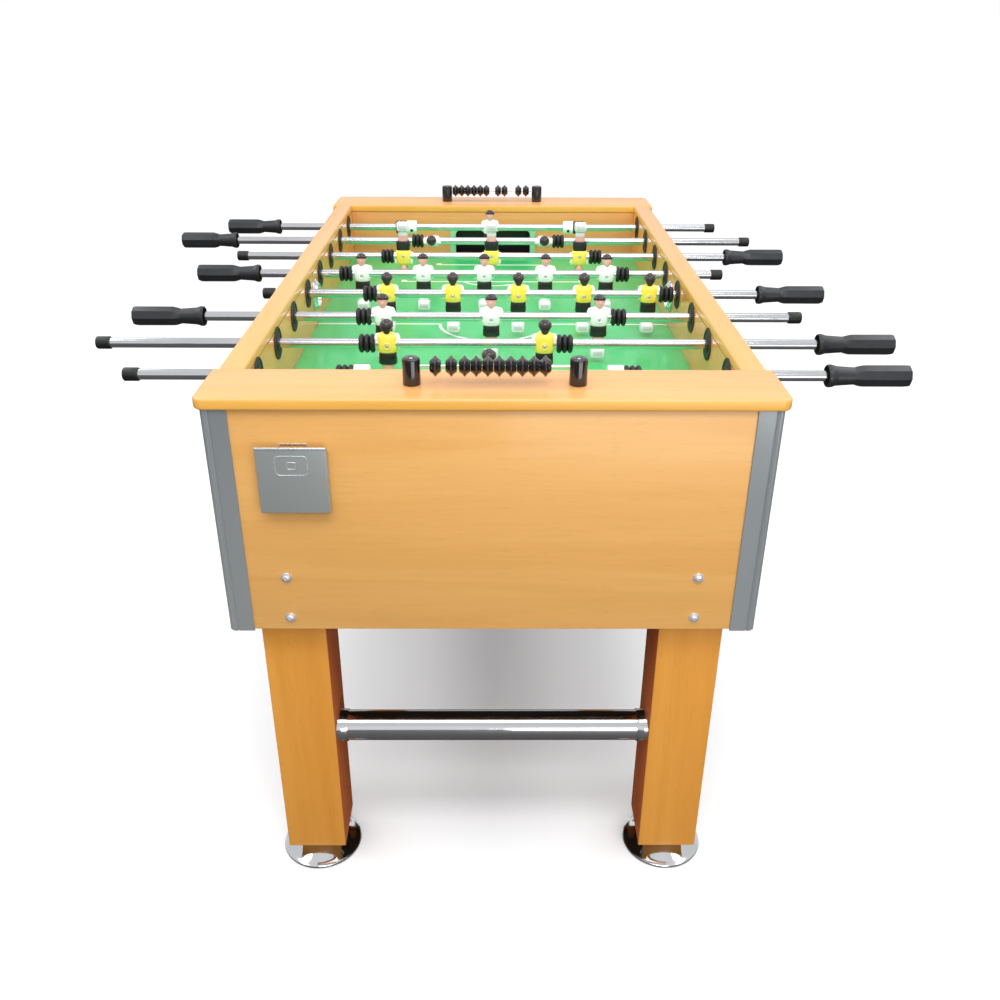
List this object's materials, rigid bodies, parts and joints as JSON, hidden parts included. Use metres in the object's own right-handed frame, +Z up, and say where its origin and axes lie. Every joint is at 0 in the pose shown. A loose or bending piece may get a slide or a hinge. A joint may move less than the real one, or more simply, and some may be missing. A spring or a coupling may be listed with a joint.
{
  "type": "foosball table",
  "caption": "Floor-standing table football game: wooden cabinet on square legs, green playing surface, steel rods with men and handles, bead scorers, goals and a hanging tray.",
  "frame": {"origin": "middle of the top face of the playing surface", "axes": "+Z up; +Y along the length, away from the end that carries the hanging tray; +X to the right of a person who stands at the tray end"},
  "size_m": [1.332, 1.3933, 0.895],
  "materials": {
    "beech_panel": "satin printed beech foil",
    "rail_wood": "satin beech foil with rounded edges",
    "leg_wood": "satin beech foil",
    "field_board": "printed green board with white lines",
    "goal_plastic": "satin",
    "chrome": "bright",
    "sheet_steel": "brushed",
    "black_plastic": "satin",
    "black_rubber": "matt",
    "yellow_team": "satin painted",
    "white_team": "satin painted",
    "steel_tube": "polished",
    "skin_paint": "satin painted",
    "black_paint": "satin painted",
    "zinc_bolt": "zinc plated"
  },
  "bodies": {
    "table": {"left_side_panel": "beech_panel", "left_side_rail": "rail_wood", "right_side_panel": "beech_panel", "right_side_rail": "rail_wood", "front_panel": "beech_panel", "front_rail": "rail_wood", "front_goal_wall": "beech_panel", "front_goal": "black_plastic", "rear_panel": "beech_panel", "rear_rail": "rail_wood", "rear_goal_wall": "beech_panel", "rear_goal": "black_plastic", "playfield": "field_board", "front_left_corner_guard": "chrome", "front_left_leg": "leg_wood", "front_right_corner_guard": "chrome", "front_right_leg": "leg_wood", "rear_left_corner_guard": "chrome", "rear_left_leg": "leg_wood", "rear_right_corner_guard": "chrome", "rear_right_leg": "leg_wood", "front_brace": "chrome", "front_scorer": "black_plastic", "rear_brace": "chrome", "rear_scorer": "black_plastic", "left_serve_cup": "chrome", "right_serve_cup": "chrome"},
    "yellow_goalie_slider": {"yellow_goalie_bumper": "black_rubber"},
    "yellow_goalie_spinner": {"yellow_goalie_rod": "yellow_team", "yellow_goalie_handle": "black_plastic"},
    "yellow_defence_slider": {"yellow_defence_bumper": "black_rubber"},
    "yellow_defence_spinner": {"yellow_defence_rod": "yellow_team", "yellow_defence_handle": "black_plastic"},
    "white_attack_slider": {"white_attack_bumper": "black_rubber"},
    "white_attack_spinner": {"white_attack_rod": "white_team", "white_attack_handle": "black_plastic"},
    "yellow_midfield_slider": {"yellow_midfield_bumper": "black_rubber"},
    "yellow_midfield_spinner": {"yellow_midfield_rod": "yellow_team", "yellow_midfield_handle": "black_plastic"},
    "white_midfield_slider": {"white_midfield_bumper": "black_rubber"},
    "white_midfield_spinner": {"white_midfield_rod": "white_team", "white_midfield_handle": "black_plastic"},
    "yellow_attack_slider": {"yellow_attack_bumper": "black_rubber"},
    "yellow_attack_spinner": {"yellow_attack_rod": "yellow_team", "yellow_attack_handle": "black_plastic"},
    "white_defence_slider": {"white_defence_bumper": "black_rubber"},
    "white_defence_spinner": {"white_defence_rod": "white_team", "white_defence_handle": "black_plastic"},
    "white_goalie_slider": {"white_goalie_bumper": "black_rubber"},
    "white_goalie_spinner": {"white_goalie_rod": "white_team", "white_goalie_handle": "black_plastic"},
    "front_score_bead_body": {"front_score_bead": "black_plastic"},
    "front_score_bead_stack_body": {"front_score_bead_stack": "black_plastic"},
    "rear_score_bead_stack_body": {"rear_score_bead_stack": "black_plastic"},
    "rear_score_bead_pairs_body": {"rear_score_bead_pairs": "black_plastic"},
    "tray": {"hanging_tray": "sheet_steel"},
    "front_left_foot": {"front_left_leveller": "chrome"},
    "front_right_foot": {"front_right_leveller": "chrome"},
    "rear_left_foot": {"rear_left_leveller": "chrome"},
    "rear_right_foot": {"rear_right_leveller": "chrome"}
  },
  "joints": [
    {"name": "yellow_goalie_slide", "type": "slide", "parent": "table", "child": "yellow_goalie_slider", "axis": [1, 0, 0], "range_m": [-0.106, 0.118]},
    {"name": "yellow_goalie_spin", "type": "hinge", "parent": "yellow_goalie_slider", "child": "yellow_goalie_spinner", "pos_m": [0, -0.504, 0.08], "axis": [1, 0, 0], "continuous": true},
    {"name": "yellow_defence_slide", "type": "slide", "parent": "table", "child": "yellow_defence_slider", "axis": [1, 0, 0], "range_m": [-0.126, 0.212]},
    {"name": "yellow_defence_spin", "type": "hinge", "parent": "yellow_defence_slider", "child": "yellow_defence_spinner", "pos_m": [0, -0.36, 0.08], "axis": [1, 0, 0], "continuous": true},
    {"name": "white_attack_slide", "type": "slide", "parent": "table", "child": "white_attack_slider", "axis": [1, 0, 0], "range_m": [-0.103, 0.109]},
    {"name": "white_attack_spin", "type": "hinge", "parent": "white_attack_slider", "child": "white_attack_spinner", "pos_m": [0, -0.216, 0.08], "axis": [1, 0, 0], "continuous": true},
    {"name": "yellow_midfield_slide", "type": "slide", "parent": "table", "child": "yellow_midfield_slider", "axis": [1, 0, 0], "range_m": [-0.0995, 0.0055]},
    {"name": "yellow_midfield_spin", "type": "hinge", "parent": "yellow_midfield_slider", "child": "yellow_midfield_spinner", "pos_m": [0, -0.072, 0.08], "axis": [1, 0, 0], "continuous": true},
    {"name": "white_midfield_slide", "type": "slide", "parent": "table", "child": "white_midfield_slider", "axis": [1, 0, 0], "range_m": [-0.0355, 0.0695]},
    {"name": "white_midfield_spin", "type": "hinge", "parent": "white_midfield_slider", "child": "white_midfield_spinner", "pos_m": [0, 0.072, 0.08], "axis": [1, 0, 0], "continuous": true},
    {"name": "yellow_attack_slide", "type": "slide", "parent": "table", "child": "yellow_attack_slider", "axis": [1, 0, 0], "range_m": [-0.103, 0.109]},
    {"name": "yellow_attack_spin", "type": "hinge", "parent": "yellow_attack_slider", "child": "yellow_attack_spinner", "pos_m": [0, 0.216, 0.08], "axis": [1, 0, 0], "continuous": true},
    {"name": "white_defence_slide", "type": "slide", "parent": "table", "child": "white_defence_slider", "axis": [1, 0, 0], "range_m": [-0.158, 0.18]},
    {"name": "white_defence_spin", "type": "hinge", "parent": "white_defence_slider", "child": "white_defence_spinner", "pos_m": [0, 0.36, 0.08], "axis": [1, 0, 0], "continuous": true},
    {"name": "white_goalie_slide", "type": "slide", "parent": "table", "child": "white_goalie_slider", "axis": [1, 0, 0], "range_m": [-0.105, 0.119]},
    {"name": "white_goalie_spin", "type": "hinge", "parent": "white_goalie_slider", "child": "white_goalie_spinner", "pos_m": [0, 0.504, 0.08], "axis": [1, 0, 0], "continuous": true},
    {"name": "front_score_bead_slide", "type": "slide", "parent": "table", "child": "front_score_bead_body", "axis": [1, 0, 0], "range_m": [-0.0115, 0.0025]},
    {"name": "front_score_bead_stack_slide", "type": "slide", "parent": "table", "child": "front_score_bead_stack_body", "axis": [1, 0, 0], "range_m": [-0.0025, 0.017]},
    {"name": "rear_score_bead_stack_slide", "type": "slide", "parent": "table", "child": "rear_score_bead_stack_body", "axis": [1, 0, 0], "range_m": [-0.0005, 0.006]},
    {"name": "rear_score_bead_pairs_slide", "type": "slide", "parent": "table", "child": "rear_score_bead_pairs_body", "axis": [1, 0, 0], "range_m": [-0.006, 0.006]},
    {"name": "tray_lift", "type": "slide", "parent": "table", "child": "tray", "axis": [0, 0, 1], "range_m": [0, 0.03]},
    {"name": "front_left_foot_screw", "type": "slide", "parent": "table", "child": "front_left_foot", "axis": [0, 0, -1], "range_m": [0, 0.015]},
    {"name": "front_right_foot_screw", "type": "slide", "parent": "table", "child": "front_right_foot", "axis": [0, 0, -1], "range_m": [0, 0.015]},
    {"name": "rear_left_foot_screw", "type": "slide", "parent": "table", "child": "rear_left_foot", "axis": [0, 0, -1], "range_m": [0, 0.015]},
    {"name": "rear_right_foot_screw", "type": "slide", "parent": "table", "child": "rear_right_foot", "axis": [0, 0, -1], "range_m": [0, 0.015]}
  ]
}
